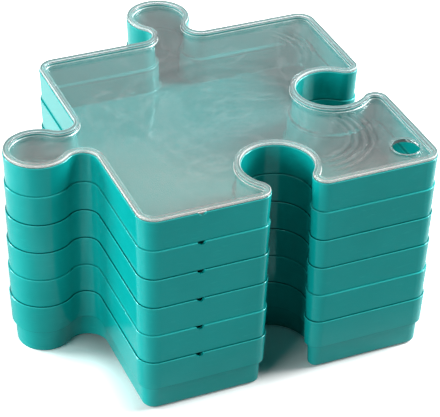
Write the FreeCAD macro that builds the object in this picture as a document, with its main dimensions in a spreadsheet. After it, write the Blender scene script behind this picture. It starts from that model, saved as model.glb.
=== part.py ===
import FreeCAD, Part
import math
import os
import Sketcher

# Stacking storage case for loose jigsaw pieces: six alike trays, each shaped like one jigsaw
# piece, and a clear recessed lid. A tray's foot drops inside the tray below until its
# shoulder rests on that tray's rim, and the lid plugs the top tray.
# Origin: centre of the square part of the outline, at the table. +Z up. The front (-Y) and
# right (+X) edges have sockets, the back (+Y) and left (-X) edges have tabs.

VALUES = [
    # plan outline of the rim
    ("side", 200.0),        # the square, without its tabs
    ("corner_r", 12.0),
    ("tab_r", 22.0),        # round head of a tab
    ("tab_out", 30.8),      # head centre from the edge it stands on
    ("neck_r", 9.5),        # blend between edge and head
    ("tab_gap", 0.5),       # play of a tab in a neighbour's socket
    # section of a tray
    ("pitch", 21.25),       # rim to rim in the stack
    ("foot_drop", 18.0),    # foot below the shoulder
    ("draft_deg", 2.6),
    ("wall", 2.0),
    ("foot_gap", 1.1),      # play between a foot and the wall around it
    ("foot_edge_r", 3.0),
    ("floor_edge_r", 1.5),
    ("ledge_bevel", 0.4),   # bevels on both edges of the ledge
    ("shoulder_bevel", 0.3),
    ("rim_bevel", 0.3),
    # grip notch in the front rim
    ("notch_r", 2.8),
    ("notch_rise", 0.6),    # notch centre above the rim
    ("notch_left", 62.0),
    # lid
    ("lid_gap", 0.6),       # play between the skirt and the tray wall
    ("lid_set_in", 0.5),    # lid edge inside the rim edge
    ("flange_t", 2.0),
    ("flange_w", 3.6),
    ("recess", 3.3),        # flange top down to the plate
    ("plate_t", 1.5),
    ("lid_edge_r", 0.8),
    ("recess_bevel", 0.4),
    # finger hole with a raised collar
    ("hole_r", 9.0),
    ("hole_right", 84.0),
    ("hole_front", 78.5),
    ("collar_w", 1.6),
    ("collar_h", 1.0),
]
TRAYS = 6
NAMES = [name for name, _ in VALUES]
FOOT_IN = "(wall + foot_gap)"
START, END, CENTRE = range(1, 4)    # how sketch constraints number a curve's points
X_AXIS, Y_AXIS = -1, -2
ORIGIN = (X_AXIS, START)
TOWARDS_ORIGIN = (0, 3)         # sides whose distances run up to the origin: front and left
SIDE_CURVES = 6                 # curves that each side of the outline is drawn with

doc = FreeCAD.newDocument("puzzle_case")
sheet = doc.addObject("Spreadsheet::Sheet", "Dimensions")
for row, (name, number) in enumerate(VALUES, start=1):
    sheet.set("A%d" % row, name)
    sheet.set("B%d" % row, str(number))
    sheet.setAlias("B%d" % row, name)
doc.recompute()


def num(formula):
    return float(sheet.evalExpression(formula))


def bind(obj, prop, formula):
    """Drive a property by a formula over the spreadsheet's names."""
    words = formula.replace("(", "( ").replace(")", " )").split()
    obj.setExpression(prop, " ".join("Dimensions." + w if w in NAMES else w for w in words))


def new_sketch(body, name, role, offset):
    sketch = body.newObject("Sketcher::SketchObject", name)
    origin_plane = next(f for f in body.Origin.OriginFeatures if f.Role == role)
    sketch.AttachmentSupport = [(origin_plane, "")]
    sketch.MapMode = "FlatFace"
    bind(sketch, "AttachmentOffset.Base.z", offset)
    return sketch


def arc(centre, radius, start, end):
    """Counterclockwise arc between two points on a circle."""
    first = math.atan2(start.y - centre.y, start.x - centre.x)
    span = math.atan2(end.y - centre.y, end.x - centre.x) - first
    circle = Part.Circle(centre, FreeCAD.Vector(0, 0, 1), radius)
    return Part.ArcOfCircle(circle, first, first + span % (2 * math.pi))


def outline(body, name, inset, height):
    """Jigsaw-piece outline, moved inwards by inset, on a level plane at height.

    Each of the four sides gives six curves: edge, neck, head, neck, edge, corner.
    """
    sketch = new_sketch(body, name, "XY_Plane", height)
    half = "side / 2 - %s" % inset
    corner_r = "corner_r - %s" % inset
    socket = {"sign": -1, "head_r": "tab_r + tab_gap + %s" % inset,
              "neck_r": "neck_r - tab_gap - %s" % inset, "centre": "side / 2 - tab_out + tab_gap"}
    tab = {"sign": 1, "head_r": "tab_r - %s" % inset,
           "neck_r": "neck_r + %s" % inset, "centre": "side / 2 + tab_out"}
    sides = [socket, socket, tab, tab]
    edge, corner = num(half), num(corner_r)
    curves, rules, sizes = [], [], []
    for turn, knob in enumerate(sides):
        sign, head, neck, centre = (knob["sign"], num(knob["head_r"]), num(knob["neck_r"]),
                                    num(knob["centre"]))
        neck_out = edge + sign * neck
        reach = math.sqrt((head + neck) ** 2 - (centre - neck_out) ** 2)
        share = head / (head + neck)
        meet, meet_out = reach * share, centre + (neck_out - centre) * share
        turned = FreeCAD.Rotation(FreeCAD.Vector(0, 0, 1), 90 * turn)

        def at(along, out):
            return turned.multVec(FreeCAD.Vector(along, -out, 0))

        first, last = at(-edge + corner, edge), at(edge - corner, edge)
        foot_a, foot_b = at(-reach, edge), at(reach, edge)
        join_a, join_b = at(-meet, meet_out), at(meet, meet_out)
        neck_a, neck_b, centre_at = at(-reach, neck_out), at(reach, neck_out), at(0, centre)
        curves.append(Part.LineSegment(first, foot_a))
        if sign > 0:
            curves.append(arc(neck_a, neck, join_a, foot_a))
            curves.append(arc(centre_at, head, join_a, join_b))
            curves.append(arc(neck_b, neck, foot_b, join_b))
        else:
            curves.append(arc(neck_a, neck, foot_a, join_a))
            curves.append(arc(centre_at, head, join_b, join_a))
            curves.append(arc(neck_b, neck, join_b, foot_b))
        curves.append(Part.LineSegment(foot_b, last))
        curves.append(arc(at(edge - corner, edge - corner), corner, last,
                          at(edge, edge - corner)))

        edge_a, blend_a, round_head, blend_b, edge_b, bend = range(
            SIDE_CURVES * turn, SIDE_CURVES * (turn + 1))
        across = turn % 2 == 0
        level, measure, axis = (("Horizontal", "DistanceY", Y_AXIS) if across
                                else ("Vertical", "DistanceX", X_AXIS))
        rules += [(level, edge_a), (level, edge_b), ("Equal", blend_a, blend_b),
                  ("PointOnObject", round_head, CENTRE, axis)]
        for point, formula in (((edge_a, START), half), ((edge_b, END), half),
                               ((round_head, CENTRE), knob["centre"])):
            ends = point + ORIGIN if turn in TOWARDS_ORIGIN else ORIGIN + point
            sizes.append(((measure,) + ends, formula))
        if across:
            sizes.append((("Radius", blend_a), knob["neck_r"]))
            sizes.append((("Radius", round_head), knob["head_r"]))
        else:
            rules.append(("Equal", blend_a - SIDE_CURVES, blend_a))
            rules.append(("Equal", round_head - SIDE_CURVES, round_head))
        if turn == 0:
            sizes.append((("Radius", bend), corner_r))
        else:
            rules.append(("Equal", bend - SIDE_CURVES, bend))

    for index, curve in enumerate(curves):
        after = (index + 1) % len(curves)
        tips = [(a, b) for a in (START, END) for b in (START, END)]
        spots = [(curve.StartPoint, curve.EndPoint),
                 (curves[after].StartPoint, curves[after].EndPoint)]
        near = min(tips, key=lambda t: spots[0][t[0] - START].distanceToPoint(
            spots[1][t[1] - START]))
        rules.append(("Tangent", index, near[0], after, near[1]))
    sketch.addGeometry(curves, False)
    made = [Sketcher.Constraint(*rule) for rule in rules]
    made += [Sketcher.Constraint(*(size + (num(formula),))) for size, formula in sizes]
    sketch.addConstraint(made)
    for place, (_, formula) in enumerate(sizes, start=len(rules)):
        bind(sketch, "Constraints[%d]" % place, formula)
    return sketch


def sweep(body, kind, name, sketch, length, draft=None):
    feature = body.newObject("PartDesign::" + kind, name)
    feature.Profile = sketch
    bind(feature, "Length", length)
    if draft:
        bind(feature, "TaperAngle", draft)
    return feature


def soften(body, kind, name, size, level):
    """Fillet or Chamfer every edge lying at one height of the body's last feature."""
    doc.recompute()
    solid = body.Tip
    height, near = num(level), 1e-3
    picked = []
    for index, edge in enumerate(solid.Shape.Edges, start=1):
        box = edge.BoundBox
        if abs(box.ZMin - height) < near and abs(box.ZMax - height) < near:
            picked.append("Edge%d" % index)
    feature = body.newObject("PartDesign::" + kind, name)
    feature.Base = (solid, picked)
    bind(feature, "Radius" if kind == "Fillet" else "Size", size)
    return feature


def make_tray(number):
    body = doc.addObject("PartDesign::Body", "tray_%d" % number)
    body.Label = "tray_%d" % number
    rim = "foot_drop + pitch"

    line = outline(body, "rim_line", "0", rim)
    band = sweep(body, "Pad", "band", line, "pitch", "0 - draft_deg")
    band.Reversed = True
    soften(body, "Chamfer", "rim_edge", "rim_bevel", rim)
    soften(body, "Chamfer", "shoulder_edge", "shoulder_bevel", "foot_drop")

    line = outline(body, "foot_line", FOOT_IN, "foot_drop")
    foot = sweep(body, "Pad", "foot", line, "foot_drop", "0 - draft_deg")
    foot.Reversed = True
    soften(body, "Fillet", "foot_edge", "foot_edge_r", "0")

    line = outline(body, "mouth_line", "wall", rim)
    sweep(body, "Pocket", "inside", line, "pitch - wall", "0 - draft_deg")
    line = outline(body, "well_line", "(%s + wall)" % FOOT_IN, "foot_drop + wall")
    sweep(body, "Pocket", "well", line, "foot_drop", "0 - draft_deg")
    soften(body, "Chamfer", "ledge_edges", "ledge_bevel", "foot_drop + wall")
    soften(body, "Fillet", "floor_edge", "floor_edge_r", "wall")

    notch = new_sketch(body, "notch_line", "XZ_Plane", "side / 2")
    centre = FreeCAD.Vector(-num("notch_left"), num(rim + " + notch_rise"), 0)
    circle = Part.Circle(centre, FreeCAD.Vector(0, 0, 1), num("notch_r"))
    notch.addGeometry(circle, False)
    notch.addConstraint([
        Sketcher.Constraint("Radius", 0, num("notch_r")),
        Sketcher.Constraint("DistanceX", 0, CENTRE, *ORIGIN, num("notch_left")),
        Sketcher.Constraint("DistanceY", *ORIGIN, 0, CENTRE, centre.y)])
    bind(notch, "Constraints[0]", "notch_r")
    bind(notch, "Constraints[1]", "notch_left")
    bind(notch, "Constraints[2]", rim + " + notch_rise")
    sweep(body, "Pocket", "notch", notch, "2 * wall")
    bind(body, "Placement.Base.z", "%d * pitch" % (number - 1))
    return body


def circle_sketch(body, name, radius, height):
    """Circle round the finger hole's axis."""
    sketch = new_sketch(body, name, "XY_Plane", height)
    centre = FreeCAD.Vector(num("hole_right"), -num("hole_front"), 0)
    sketch.addGeometry(Part.Circle(centre, FreeCAD.Vector(0, 0, 1), num(radius)), False)
    sketch.addConstraint([
        Sketcher.Constraint("Radius", 0, num(radius)),
        Sketcher.Constraint("DistanceX", *ORIGIN, 0, CENTRE, num("hole_right")),
        Sketcher.Constraint("DistanceY", 0, CENTRE, *ORIGIN, num("hole_front"))])
    bind(sketch, "Constraints[0]", radius)
    bind(sketch, "Constraints[1]", "hole_right")
    bind(sketch, "Constraints[2]", "hole_front")
    return sketch


def make_lid():
    """Lid drawn with the top tray's rim at height 0, then set on the stack."""
    body = doc.addObject("PartDesign::Body", "lid")
    body.Label = "lid"
    plate = "flange_t - recess"

    line = outline(body, "flange_line", "lid_set_in", "flange_t")
    flange = sweep(body, "Pad", "flange", line, "flange_t")
    flange.Reversed = True
    soften(body, "Fillet", "flange_edge", "lid_edge_r", "flange_t")
    line = outline(body, "skirt_line", "(wall + lid_gap)", "0")
    skirt = sweep(body, "Pad", "skirt", line, "recess - flange_t + plate_t")
    skirt.Reversed = True
    line = outline(body, "recess_line", "(lid_set_in + flange_w)", "flange_t")
    sweep(body, "Pocket", "dish", line, "recess", "0 - draft_deg")
    soften(body, "Chamfer", "dish_edge", "recess_bevel", plate)
    line = circle_sketch(body, "collar_line", "hole_r + collar_w", plate)
    sweep(body, "Pad", "collar", line, "collar_h")
    line = circle_sketch(body, "hole_line", "hole_r", plate + " + collar_h")
    sweep(body, "Pocket", "finger_hole", line, "collar_h + plate_t")
    bind(body, "Placement.Base.z", "foot_drop + %d * pitch" % TRAYS)
    return body


parts = [make_tray(number) for number in range(1, TRAYS + 1)] + [make_lid()]
doc.recompute()

for item in doc.Objects:
    if "Invalid" in item.State or "Error" in item.State:
        raise RuntimeError("%s did not build" % item.Name)
for part in parts:
    if part.Shape.isNull() or not part.Shape.isValid() or len(part.Shape.Solids) != 1:
        raise RuntimeError("%s is not one sound solid" % part.Label)
    box = part.Shape.BoundBox
    print("%s %.0f mm3, z %.2f to %.2f, %d faces"
          % (part.Label, part.Shape.Volume, box.ZMin, box.ZMax, len(part.Shape.Faces)))

os.makedirs("parts", exist_ok=True)
for part in parts:
    part.Shape.exportStep("parts/%s.step" % part.Label)
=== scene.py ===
"""A jigsaw puzzle storage case: six stacking trays and a clear lid, dressed and lit for the studio."""
import math

import bmesh
import bpy
from mathutils import Matrix, Vector

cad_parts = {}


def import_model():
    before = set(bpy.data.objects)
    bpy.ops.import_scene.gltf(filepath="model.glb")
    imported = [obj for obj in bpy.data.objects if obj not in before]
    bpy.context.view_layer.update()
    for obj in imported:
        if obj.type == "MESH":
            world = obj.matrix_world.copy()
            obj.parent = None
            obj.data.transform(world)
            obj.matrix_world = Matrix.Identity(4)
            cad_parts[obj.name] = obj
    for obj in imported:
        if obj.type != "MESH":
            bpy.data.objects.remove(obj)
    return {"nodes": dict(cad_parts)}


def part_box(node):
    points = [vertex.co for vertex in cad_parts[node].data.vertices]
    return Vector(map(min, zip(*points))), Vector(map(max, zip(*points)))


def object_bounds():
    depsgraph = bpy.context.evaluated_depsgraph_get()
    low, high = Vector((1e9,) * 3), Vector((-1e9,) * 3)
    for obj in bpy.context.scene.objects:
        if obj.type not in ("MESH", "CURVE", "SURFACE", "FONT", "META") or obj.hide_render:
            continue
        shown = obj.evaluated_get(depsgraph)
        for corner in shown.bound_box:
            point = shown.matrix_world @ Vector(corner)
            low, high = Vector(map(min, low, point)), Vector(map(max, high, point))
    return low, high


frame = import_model()
cad_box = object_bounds()

MM = 0.001
MICROMETRE = 6  # decimals of a metre
TRAYS = [f"tray_{n}" for n in range(1, 7)]
LID = "lid"


def top(node):
    """Height of a node's highest point, to the micrometre."""
    return round(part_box(node)[1].z, MICROMETRE)


FIRST_RIM = top(TRAYS[0])
PITCH = round(top(TRAYS[1]) - FIRST_RIM, MICROMETRE)  # from one tray's rim to the next
PLATE_TOP = top(LID) - 3.3 * MM  # the lid's plate is sunk this far below its flange
HALF_WIDTH = round(cad_box[1].x, 3)  # of the square: no tab stands out on the right


def rgb(red, green, blue):
    return red, green, blue, 1.0


def grey(level):
    return rgb(level, level, level)


TEAL_DEEP = rgb(0.0015, 0.300, 0.285)
TEAL_BRIGHT = rgb(0.0025, 0.328, 0.313)
# The rim colour is a painted highlight and the seam colour a painted shadow.
TEAL_RIM_HIGHLIGHT = rgb(0.030, 0.520, 0.500)
TEAL_SEAM_SHADOW = rgb(0.0010, 0.090, 0.086)
TEAL_STREAK = rgb(0.010, 0.400, 0.385)
TEAL_GLOSS = rgb(0.52, 1.0, 1.0)
CLEAR_COOL = rgb(0.88, 0.94, 0.95)
CLEAR_PALE = rgb(0.92, 0.95, 0.95)
CLEAR_EDGE_FROST_AND_HIGHLIGHT = rgb(0.78, 0.94, 0.92)
CLEAR_WARM = rgb(0.93, 0.87, 0.83)
CLEAR_GLOSS = rgb(0.86, 0.97, 1.0)
CLEAR_SHADE = rgb(0.885, 0.90, 0.90)
PAPER = rgb(0.32, 0.32, 0.33)
PLASTIC_IOR = 1.49

# Flow lines moulded into the lid's plate. Each set rings a centre, a gap apart, and fades in and out
# with the distance from it; an arc keeps only the lines that lie in its heading.
GATE_RINGS = {
    "centre": (0.0, -4 * MM),
    "gap": 13.5 * MM,
    "wobble": 20 * MM,
    "fade_in": (30 * MM, 60 * MM),
    "fade_out": (95 * MM, 78 * MM),
}
FRONT_ARCS = {
    "centre": (33 * MM, -45 * MM),
    "gap": 5.2 * MM,
    "wobble": 6 * MM,
    "fade_in": (22 * MM, 32 * MM),
    "fade_out": (52 * MM, 40 * MM),
    "heading": (0.85, -0.5),
    "spread": (0.25, 0.75),
}
BACK_ARCS = {
    "centre": (42 * MM, 62 * MM),
    "gap": 5.2 * MM,
    "wobble": 6 * MM,
    "fade_in": (26 * MM, 34 * MM),
    "fade_out": (50 * MM, 42 * MM),
    "heading": (1.0, 0.0),
    "spread": (0.55, 0.90),
}

FLOOR_REACH = 6.0
PLAIN_FLOOR = (0.60, 1.20)  # from the middle: the floor turns plain white to the camera between these
LEFT_NECK = (-102 * MM, -4 * MM)  # where the left tab's neck meets the wall; a painted shadow on the floor rounds it
LAMPS_AIM = (0.0, 0.0, 80 * MM)  # about half way up the case

# The camera stands back from a point on the top rim's level; angles in degrees.
VIEW_POINT = Vector((-0.05086, -0.09961, 0.1455))
VIEW_DISTANCE = 1.09003
VIEW_AZIMUTH = -23.77
VIEW_ELEVATION = 34.59
VIEW_ROLL = 1.43
FOCAL_PIXELS = 1849.06
PICTURE_PIXELS = 440  # the picture's width
SENSOR_WIDTH = 36.0  # millimetres


# ---------------------------------------------------------------- node helpers
class Tree:
    """Makes and links the nodes of one node tree, with a short call for each."""

    def __init__(self, tree):
        self.nodes = tree.nodes
        self.links = tree.links
        self.nodes.clear()

    def add(self, kind, *in_order, settings=None, **by_name):
        """A new node, its first sockets fed in order and others by name, with _ for a space."""
        made = self.nodes.new(kind)
        for key, value in (settings or {}).items():
            setattr(made, key, value)
        for socket, value in zip(made.inputs, in_order):
            self.feed(socket, value)
        for name, value in by_name.items():
            self.feed(made.inputs[name.replace("_", " ")], value)
        return made

    def feed(self, socket, value):
        if isinstance(value, bpy.types.Node):
            value = value.outputs[0]
        if isinstance(value, bpy.types.NodeSocket):
            self.links.new(value, socket)
        else:
            socket.default_value = value

    def math(self, operation, *values, clamp=False):
        settings = {"operation": operation, "use_clamp": clamp}
        return self.add("ShaderNodeMath", *values, settings=settings).outputs[0]

    def chain(self, operation, first, others):
        for other in others:
            first = self.math(operation, first, other)
        return first

    def plus(self, first, *others):
        return self.chain("ADD", first, others)

    def minus(self, first, *others):
        return self.chain("SUBTRACT", first, others)

    def times(self, first, *others):
        return self.chain("MULTIPLY", first, others)

    def length(self, x, y):
        return self.math("SQRT", self.plus(self.times(x, x), self.times(y, y)))

    def span(self, value, low, high, to_low=0.0, to_high=1.0):
        """value from low..high eased to to_low..to_high."""
        settings = {"interpolation_type": "SMOOTHSTEP"}
        return self.add("ShaderNodeMapRange", value, low, high, to_low, to_high, settings=settings).outputs[0]

    def noise(self, where, scale, detail=2.0, roughness=0.5, distortion=0.0):
        made = self.add(
            "ShaderNodeTexNoise",
            Vector=where,
            Scale=scale,
            Detail=detail,
            Roughness=roughness,
            Distortion=distortion,
        )
        return made.outputs[0]

    def mix(self, factor, a, b):
        made = self.add("ShaderNodeMix", factor, settings={"data_type": "RGBA"})
        _, colour_a, colour_b = [socket for socket in made.inputs if socket.enabled]
        self.feed(colour_a, a)
        self.feed(colour_b, b)
        return next(socket for socket in made.outputs if socket.enabled)

    def tint(self, base, colour, mask, share=1.0):
        """base with a share of colour laid over it where the mask is."""
        return self.mix(self.times(mask, share), base, colour)

    def bump(self, height, strength, distance, normal=None):
        made = self.add("ShaderNodeBump", Height=height, Strength=strength, Distance=distance)
        if normal is not None:
            self.feed(made.inputs["Normal"], normal)
        return made.outputs[0]

    def object_place(self):
        """The point's place in the frame, in metres."""
        return self.add("ShaderNodeTexCoord").outputs["Object"]

    def split(self, vector):
        return self.add("ShaderNodeSeparateXYZ", vector).outputs

    def levelness(self):
        """1 where the surface faces straight up or down, 0 where it stands upright."""
        normal = self.add("ShaderNodeNewGeometry").outputs["True Normal"]
        return self.math("ABSOLUTE", self.split(normal)["Z"])

    def rays(self):
        return self.add("ShaderNodeLightPath").outputs


def new_material(name):
    made = bpy.data.materials.new(name)
    made.use_nodes = True
    return made, Tree(made.node_tree)


# ---------------------------------------------------------------- materials
def moulding_group():
    """What moulding leaves on both plastics: soft clouds of colour, and slight waves in the surface."""
    group = bpy.data.node_groups.new("moulding", "ShaderNodeTree")
    group.interface.new_socket("Vector", in_out="INPUT", socket_type="NodeSocketVector")
    for name in ("Cloud Scale", "Cloud Roughness", "Wave Scale"):
        group.interface.new_socket(name, in_out="INPUT", socket_type="NodeSocketFloat")
    for name in ("Cloud", "Mottle", "Waves"):
        group.interface.new_socket(name, in_out="OUTPUT", socket_type="NodeSocketFloat")
    t = Tree(group)
    given = t.add("NodeGroupInput").outputs
    cloud = t.noise(given["Vector"], given["Cloud Scale"], detail=3.0, roughness=given["Cloud Roughness"])
    mottle = t.span(cloud, 0.35, 0.65)
    waves = t.noise(given["Vector"], given["Wave Scale"], detail=1.0, roughness=0.4)
    t.add("NodeGroupOutput", cloud, mottle, waves)
    return group


MOULDING = moulding_group()


def moulding(t, where, cloud_scale, cloud_roughness, wave_scale):
    """The moulding group placed in a material: its Cloud, Mottle and Waves."""
    made = t.add(
        "ShaderNodeGroup",
        settings={"node_tree": MOULDING},
        Vector=where,
        Cloud_Scale=cloud_scale,
        Cloud_Roughness=cloud_roughness,
        Wave_Scale=wave_scale,
    )
    return made.outputs


def teal_plastic():
    """Moulded polypropylene: a painted highlight along each rim, painted shadow in each seam, streaks down
    the walls, and mirror-flat floors.
    """
    material, t = new_material("teal_plastic_moulded")
    where = t.object_place()
    upright = t.minus(1.0, t.span(t.levelness(), 0.90, 0.98))
    surface = moulding(t, where, cloud_scale=14.0, cloud_roughness=0.55, wave_scale=45.0)

    base = t.mix(surface["Mottle"], TEAL_DEEP, TEAL_BRIGHT)
    over_rim = t.math("MODULO", t.plus(t.split(where)["Z"], PITCH - (FIRST_RIM % PITCH)), PITCH)
    # Painted highlight: a pale line just below each rim, where its rounded edge would catch the light.
    rim_highlight = t.span(over_rim, PITCH - 0.9 * MM, PITCH - 0.25 * MM)
    base = t.tint(base, TEAL_RIM_HIGHLIGHT, rim_highlight, share=0.55)
    # Painted shadow: a dark line just above each rim, in the gap where the tray above sits on it.
    seam_shadow = t.span(over_rim, 0.65 * MM, 0.30 * MM)
    base = t.tint(base, TEAL_SEAM_SHADOW, seam_shadow, share=0.70)
    squashed = t.add("ShaderNodeMapping", Vector=where, Scale=(1.0, 1.0, 7.0))
    streaks = t.span(t.noise(squashed, 70.0, detail=5.0, roughness=0.75), 0.54, 0.72)
    base = t.tint(base, TEAL_STREAK, t.times(streaks, upright), share=0.45)

    scuffs = t.noise(where, 120.0, detail=4.0, roughness=0.65)
    dull = t.plus(t.times(scuffs, 0.08), t.times(surface["Cloud"], 0.06), 0.05)
    rough = t.plus(t.times(dull, upright), 0.02)

    grain = t.noise(where, 900.0)
    normal = t.bump(t.times(surface["Waves"], upright), strength=0.10, distance=0.5 * MM)
    normal = t.bump(t.times(grain, upright), strength=0.10, distance=0.05 * MM, normal=normal)

    shader = t.add(
        "ShaderNodeBsdfPrincipled",
        Base_Color=base,
        Roughness=rough,
        Normal=normal,
        IOR=PLASTIC_IOR,
        Specular_Tint=TEAL_GLOSS,
    )
    t.add("ShaderNodeOutputMaterial", shader)
    return material


def ripples(t, where, centre, gap, wobble, fade_in, fade_out, heading=None, spread=None):
    """Height of one set of flow lines; spread is the cosine at which an arc fades in and is whole."""
    x, y, _ = t.split(where)
    dx = t.minus(x, centre[0])
    dy = t.minus(y, centre[1])
    far = t.plus(t.length(dx, dy), t.times(t.noise(where, 22.0), wobble))
    wave = t.math("SINE", t.times(far, 2 * math.pi / gap))
    mask = t.times(t.span(far, *fade_in), t.span(far, *fade_out))
    if heading:
        ahead = t.plus(t.times(dx, heading[0]), t.times(dy, heading[1]))
        mask = t.times(mask, t.span(t.math("DIVIDE", ahead, far), *spread))
    return t.times(wave, mask)


def lid_plastic():
    """Clear polypropylene, a little milky: edges partly frosted and partly whitened as a painted highlight,
    faint wisps and flow lines, a warm front.
    """
    material, t = new_material("lid_plastic_clear")
    where = t.object_place()
    x, y, z = t.split(where)
    level = t.levelness()
    surface = moulding(t, where, cloud_scale=11.0, cloud_roughness=0.6, wave_scale=40.0)
    flow = t.plus(
        t.times(ripples(t, where, **GATE_RINGS), 0.25),
        ripples(t, where, **FRONT_ARCS),
        t.times(ripples(t, where, **BACK_ARCS), 0.5),
    )
    rounded = t.times(t.span(level, 0.10, 0.30), t.span(level, 0.985, 0.92))
    edge = t.times(rounded, t.span(z, PLATE_TOP - 1.0 * MM, PLATE_TOP))
    flange = t.span(z, PLATE_TOP + 0.5 * MM, PLATE_TOP + 1.5 * MM)
    warm = t.span(t.plus(t.times(x, 0.4), y), -25 * MM, -85 * MM)

    base = t.mix(surface["Mottle"], CLEAR_COOL, CLEAR_PALE)
    # The edges' pale tint is partly the plastic's frosting and partly a painted highlight for the light that
    # rounded edges catch.
    base = t.tint(base, CLEAR_EDGE_FROST_AND_HIGHLIGHT, edge)
    base = t.tint(base, CLEAR_WARM, warm, share=0.8)

    # The clearness takes nothing from the group, so the lid has clouds of its own.
    cloud = t.noise(where, 11.0, detail=3.0, roughness=0.6)
    drift = t.noise(where, 16.0, detail=4.0, roughness=0.6, distortion=1.2)
    wisps = t.span(t.math("ABSOLUTE", t.minus(drift, 0.5)), 0.016, 0.0)
    clear = t.minus(
        0.985,
        t.times(cloud, 0.025),
        t.times(t.times(warm, t.minus(1.0, flange)), 0.036),
        t.times(flow, 0.02),
        t.times(wisps, 0.035),
        t.times(flange, 0.11),
    )
    # Less clear at the edges: partly frosting, partly a painted highlight.
    clear = t.math("SUBTRACT", clear, t.times(edge, 0.25), clamp=True)

    haze = t.noise(where, 60.0, detail=3.0, roughness=0.6)
    rough = t.plus(0.012, t.times(haze, 0.03), t.times(edge, 0.40), t.times(flange, 0.06))
    normal = t.bump(flow, strength=0.30, distance=0.6 * MM)
    normal = t.bump(surface["Waves"], strength=0.03, distance=0.5 * MM, normal=normal)

    shader = t.add(
        "ShaderNodeBsdfPrincipled",
        Base_Color=base,
        Roughness=rough,
        Transmission_Weight=clear,
        Normal=normal,
        IOR=PLASTIC_IOR,
        Specular_Tint=CLEAR_GLOSS,
    )
    # Light on its way to the trays goes straight through, only tinted.
    straight = t.add("ShaderNodeBsdfTransparent", Color=CLEAR_SHADE)
    rays = t.rays()
    for kind in ("Is Diffuse Ray", "Is Shadow Ray"):
        shader = t.add("ShaderNodeMixShader", rays[kind], shader, straight)
    t.add("ShaderNodeOutputMaterial", shader)
    return material


def studio_paper():
    """The sweep under the case: white to the camera but with a painted shadow at the base, grey to everything
    else, and in reflections painted paler behind the case.
    """
    material, t = new_material("studio_paper")
    where = t.object_place()
    x, y, _ = t.split(where)
    rays = t.rays()

    # Painted shadow: the floor is darkened for the camera round the base and round the left tab's neck, on
    # top of the lamps' own shadow.
    away = t.math("MAXIMUM", t.math("ABSOLUTE", x), t.math("ABSOLUTE", y))
    painted_base_shadow = t.span(away, HALF_WIDTH - 4 * MM, HALF_WIDTH + 16 * MM, 0.55, 1.0)
    from_neck = t.length(t.minus(x, LEFT_NECK[0]), t.minus(y, LEFT_NECK[1]))
    painted_neck_shadow = t.span(from_neck, 10 * MM, 45 * MM, 0.38, 1.0)
    seen = t.mix(t.times(painted_base_shadow, painted_neck_shadow), grey(0.0), grey(1.90))
    # Painted light: in reflections the floor is paler from just in front of the case backwards than it is
    # farther in front.
    mirrored = t.mix(t.span(y, -150 * MM, -90 * MM), grey(0.30), grey(0.80))
    tone = t.mix(rays["Is Glossy Ray"], PAPER, mirrored)
    tone = t.mix(rays["Is Camera Ray"], tone, seen)
    tooth = t.bump(t.noise(where, 300.0), strength=0.05, distance=0.1 * MM)
    shader = t.add("ShaderNodeBsdfDiffuse", Color=tone, Normal=tooth)

    # Far out the lamps no longer light the floor, and the camera sees plain white there.
    beyond = t.times(t.span(t.length(x, y), *PLAIN_FLOOR), rays["Is Camera Ray"])
    white = t.add("ShaderNodeEmission", Color=grey(1.0), Strength=1.0)
    shader = t.add("ShaderNodeMixShader", beyond, shader, white)
    t.add("ShaderNodeOutputMaterial", shader)
    return material


# ---------------------------------------------------------------- the case
def dress(name, material):
    node = frame["nodes"][name]
    node.data.materials.clear()
    node.data.materials.append(material)


teal = teal_plastic()
for tray in TRAYS:
    dress(tray, teal)
dress(LID, lid_plastic())


# ---------------------------------------------------------------- studio
def link(name, data):
    made = bpy.data.objects.new(name, data)
    bpy.context.scene.collection.objects.link(made)
    return made


def soft_box(name, place, width, height, watts):
    """A rectangular lamp that points at the middle of the case."""
    data = bpy.data.lights.new(name, "AREA")
    data.shape = "RECTANGLE"
    data.size = width
    data.size_y = height
    data.energy = watts
    lamp = link(name, data)
    lamp.location = place
    lamp.rotation_mode = "QUATERNION"
    lamp.rotation_quaternion = (Vector(LAMPS_AIM) - lamp.location).to_track_quat("-Z", "Y")


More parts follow.
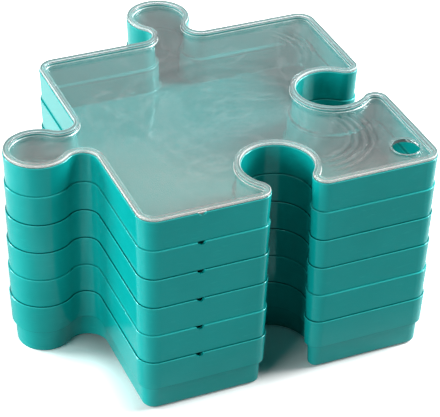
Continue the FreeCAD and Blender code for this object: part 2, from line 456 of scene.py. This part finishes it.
def floor():
    mesh = bpy.data.meshes.new("floor")
    shape = bmesh.new()
    bmesh.ops.create_grid(shape, x_segments=1, y_segments=1, size=FLOOR_REACH)
    shape.to_mesh(mesh)
    shape.free()
    mesh.materials.append(studio_paper())
    link("floor", mesh)


def world():
    """White to the camera, in reflections and through the lid; black to all other rays."""
    made = bpy.data.worlds.new("studio")
    made.use_nodes = True
    t = Tree(made.node_tree)
    rays = t.rays()
    white = rays["Is Camera Ray"]
    for kind in ("Is Transmission Ray", "Is Glossy Ray"):
        white = t.math("MAXIMUM", white, rays[kind])
    back = t.add("ShaderNodeBackground", Color=grey(1.0), Strength=white)
    t.add("ShaderNodeOutputWorld", back)
    bpy.context.scene.world = made


def camera():
    """Looks down on the case from the front left, rolled a little."""
    azimuth, elevation, roll = map(math.radians, (VIEW_AZIMUTH, VIEW_ELEVATION, VIEW_ROLL))
    back = Vector((
        math.sin(azimuth) * math.cos(elevation),
        -math.cos(azimuth) * math.cos(elevation),
        math.sin(elevation),
    ))
    level_right = (-back).cross(Vector((0, 0, 1))).normalized()
    level_up = level_right.cross(-back).normalized()
    right = level_right * math.cos(roll) + level_up * math.sin(roll)
    up = level_up * math.cos(roll) - level_right * math.sin(roll)
    turn = Matrix((right, up, back)).transposed().to_4x4()
    data = bpy.data.cameras.new("camera")
    data.sensor_fit = "HORIZONTAL"
    data.sensor_width = SENSOR_WIDTH
    data.lens = FOCAL_PIXELS / PICTURE_PIXELS * SENSOR_WIDTH
    data.clip_start = 0.05
    data.clip_end = 50
    made = link("camera", data)
    made.matrix_world = Matrix.Translation(VIEW_POINT + back * VIEW_DISTANCE) @ turn
    bpy.context.scene.camera = made


floor()
world()
soft_box("key_left", place=(-1.5, 0.85, 0.40), width=0.8, height=0.8, watts=42)
soft_box("fill_left", place=(-1.55, -0.55, 0.45), width=1.2, height=0.8, watts=26)
soft_box("key_right", place=(1.35, -0.1, 1.1), width=0.9, height=0.9, watts=55)
soft_box("fill_right", place=(1.6, 0.0, 0.45), width=1.6, height=0.7, watts=22)
camera()
bpy.context.scene.view_settings.view_transform = "Standard"
